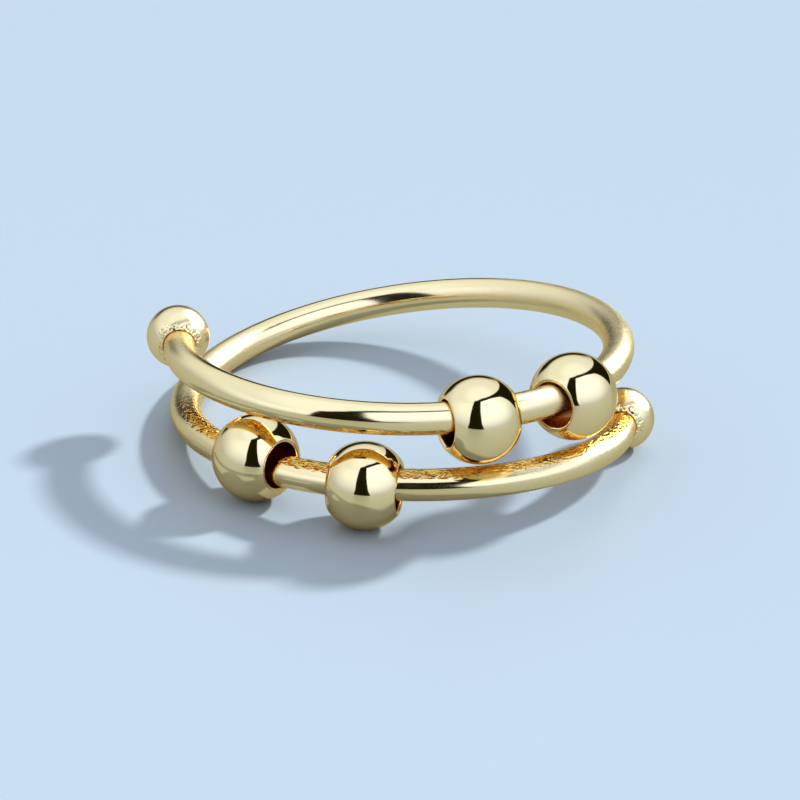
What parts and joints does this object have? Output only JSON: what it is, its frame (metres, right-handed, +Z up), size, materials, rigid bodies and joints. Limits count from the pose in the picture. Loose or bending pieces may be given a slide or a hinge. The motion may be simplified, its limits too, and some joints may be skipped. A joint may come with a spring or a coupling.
{
  "type": "spinner ring",
  "caption": "Open coiled finger ring of polished gold-coloured wire with a ball on each end and loose drilled beads that spin on its front strands.",
  "frame": {"origin": "on the table, under the middle of the ring's box, with the ring lying as it rests by itself", "axes": "+Z up from the table, +X to the right along the front strands, so the beads are on the -Y side"},
  "size_m": [0.0244, 0.0238, 0.0073],
  "materials": {
    "polished_gold": "mirror polished, pale gold plate"
  },
  "bodies": {
    "coil": {"coil_wire": "polished_gold", "upper_end_ball": "polished_gold", "lower_end_ball": "polished_gold"},
    "lower_left_bead": {"lower_left_bead": "polished_gold"},
    "lower_right_bead": {"lower_right_bead": "polished_gold"},
    "upper_left_bead": {"upper_left_bead": "polished_gold"},
    "upper_right_bead": {"upper_right_bead": "polished_gold"}
  },
  "joints": [
    {"name": "lower_left_spin", "type": "hinge", "parent": "coil", "child": "lower_left_bead", "pos_m": [-0.00666, -0.00736, 0.00205], "axis": [0.7468, -0.6583, 0.0942], "continuous": true},
    {"name": "lower_right_spin", "type": "hinge", "parent": "coil", "child": "lower_right_bead", "pos_m": [-0.0016, -0.00982, 0.00205], "axis": [0.9822, -0.182, 0.0475], "continuous": true},
    {"name": "upper_left_spin", "type": "hinge", "parent": "coil", "child": "upper_left_bead", "pos_m": [0.00344, -0.00909, 0.00527], "axis": [-0.9343, -0.3563, 0.0061], "continuous": true},
    {"name": "upper_right_spin", "type": "hinge", "parent": "coil", "child": "upper_right_bead", "pos_m": [0.00789, -0.00586, 0.00513], "axis": [-0.6296, -0.7756, 0.0448], "continuous": true}
  ]
}
